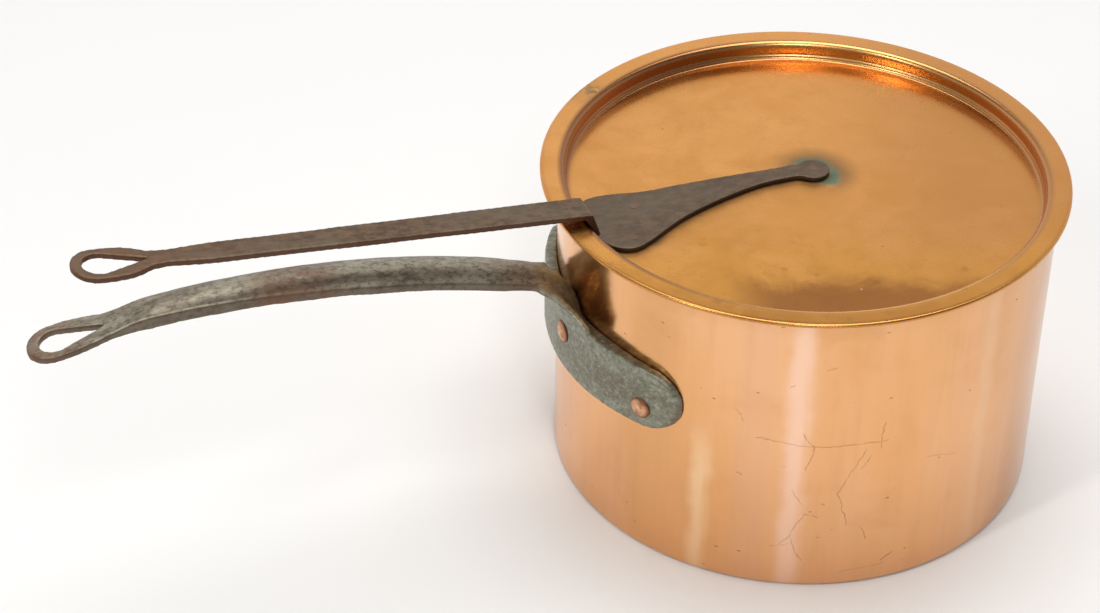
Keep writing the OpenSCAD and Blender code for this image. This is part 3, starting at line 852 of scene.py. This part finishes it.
def paint_lid(ob):
    """Where stains gather and where painted shade and reflection go, kept on
    the mesh as numbers from 0 to 1.
    """
    mesh = ob.data
    co = np.empty(len(mesh.vertices) * 3)
    mesh.vertices.foreach_get("co", co)
    co = co.reshape(-1, 3) / MM
    u, v = to_handle(co[:, 0], co[:, 1])
    poly = np.array([tuple(p) for p in curve(LEAF)])
    a, b = poly, np.roll(poly, -1, 0)
    d = np.full(len(u), 1e9)
    inside = np.zeros(len(u), bool)
    for (ax, ay), (bx, by) in zip(a, b):
        ex, ey = bx - ax, by - ay
        k = np.clip(((u - ax) * ex + (v - ay) * ey)
                    / (ex * ex + ey * ey), 0, 1)
        d = np.minimum(d, np.hypot(u - ax - k * ex, v - ay - k * ey))
        if ay != by:
            cross = ((ay > v) != (by > v)) & (u < (v - ay) * ex / ey + ax)
            inside ^= cross
    tip_v = v - LEAF_TIP_V
    tip = np.hypot(u, tip_v) - LEAF_TIP_R
    d = np.minimum(np.where(inside, 0, d), np.maximum(tip, 0))
    floor = co[:, 2] < PAN_H + FLOOR + 1.0
    wob = np.array([fbm(p, 9.0, 4.0) for p in co])
    # oxide plus painted shade: dark along the leaf's edge, wider on the leaf's
    # near edge
    near = np.clip((v - leaf_middle(u)) / 10 + 0.5, 0.25, 1)
    tarnish_and_shade = (np.exp(-d / (1.5 + 2.4 * near)) * near * (1.0 + 0.3 * wob)
               * floor)
    tarnish_and_shade = np.maximum(tarnish_and_shade, np.exp(-d / 0.9) * 0.8 * floor)
    ring = np.clip(1.6 - np.abs(tip - 2.6 - 1.5 * wob) / 2.4, 0, 1)
    towards = np.clip(0.85 - u / 6.5 - tip_v / 26.0, 0, 1)
    verd = ring * towards * floor
    halo = np.clip(1 - np.abs(tip - 3.5) / 13.0, 0, 1) ** 1.1 * floor
    halo = halo * np.clip(0.75 - u / 20.0 - tip_v / 30.0 + 0.25 * wob, 0, 1)
    rx, ry = co[:, 0] - LID_AT.x, co[:, 1] - LID_AT.y
    rad = np.hypot(rx, ry)
    az = np.degrees(np.arctan2(ry, rx))
    on_flange = np.clip((rad - 117.5) / 1.5, 0, 1)
    stain = on_flange * np.exp(-((az - 126) / 4.0) ** 2) * np.clip(
        0.8 + 0.9 * wob, 0, 1)
    sunk = (np.clip((rad - 112.5) / 1.0, 0, 1)
            * np.clip((118.6 - rad) / 1.5, 0, 1))
    for name, value in (("tarnish_and_shade", tarnish_and_shade), ("verdigris", verd),
                        ("halo", halo), ("flange_stain", stain),
                        ("sunk_wall", sunk),
                        ("edge", np.clip((rad - 124.5) / 2.0, 0, 1))):
        att = mesh.attributes.new(name, "FLOAT", "POINT")
        att.data.foreach_set("value", np.clip(value, 0, 1).astype(np.float32))


def leaf_middle(u):
    """The leaf's middle line, across the handle."""
    return np.interp(u, [-8, 10, 60, 96, 120], [-7, -9, -8, -1, -1])


def build_lid():
    f0, f1 = TIN, TIN + FLANGE_T
    out = PLUG_R - TIN
    low = FLOOR - LID_T
    edge, bend = FLANGE_R - LID_EDGE, SUNK_R + LID_BEND
    under = ([(0, low), (out - LID_CORNER, low)]
             + arc(out - LID_CORNER, low + LID_CORNER, LID_CORNER, -90, 0, 6)
             + [(out, f0), (edge, f0)]
             + arc(edge, f0 + LID_EDGE, LID_EDGE, -90, 90, 10))
    over = ([(edge, f1), (bend, f1)]
            + arc(bend, f1 - LID_BEND, LID_BEND, 90, 180, 10)
            + [(SUNK_R, FLOOR + LID_COVE)]
            + arc(SUNK_R - LID_COVE, FLOOR + LID_COVE, LID_COVE, 0, -90, 6)
            + [(0, FLOOR)])
    disc = lathe("lid_copper_disc", dense(under, 10.0) + dense(over, 1.7)[1:],
                 LID_AT, lid_copper(), seg=400, wave=lid_wave)
    paint_lid(disc)
    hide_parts("lid_disc")
    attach(disc, "lid")
    p, q = PLUG_R, PLUG_R - TIN
    lining = ([(0, low - TIN), (p - 3.2, low - TIN)]
              + arc(p - 3.2, low + LID_CORNER, 3.2, -90, 0, 6)
              + [(p, 0), (FLANGE_R - FLANGE_T, 0), (FLANGE_R - FLANGE_T, TIN),
                 (q, TIN), (q, low + LID_CORNER)]
              + arc(q - LID_CORNER, low + LID_CORNER, LID_CORNER, 0, -90, 6)
              + [(0, low)])
    skin = lathe("lid_tin", dense(lining, 12.0), LID_AT, tin("lid_tin"),
                 seg=240)
    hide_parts("lid_tin_lining")
    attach(skin, "lid")

    def work(v):
        return 0.10 * fbm(v, 22.0, 9.0) + 0.02 * fbm(v, 6.0, 1.0) - 0.03

    plugs = []
    c, s = math.cos(HANDLE_TURN), math.sin(HANDLE_TURN)
    for u, v in LEAF_RIVETS:
        plugs.append(((HANDLE_AT.x + u * c - v * s,
                       HANDLE_AT.y + u * s + v * c,
                       PAN_H + FLOOR + 1.3), 2.35, 2.6))
    bar = forged("lid_iron_handle", ["lid_handle"], lid_iron(), 0.5, 8, work,
                 plugs, soft=(((-115.5, -1.8, 167.0), 9.0, 25),
                              ((-112.0, -1.8, 154.5), 7.0, 10)),
                 turn=HANDLE_TURN - math.pi)
    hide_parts("lid_handle")
    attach(bar, "lid")
    for name in ("tip", "near", "far"):
        mat = lid_iron("lid_rivet_" + name, 0.35)
        ob = NODES["lid_rivet_" + name]
        ob.data.materials.clear()
        ob.data.materials.append(mat)


place_camera()
studio()
build_pan()
build_lid()
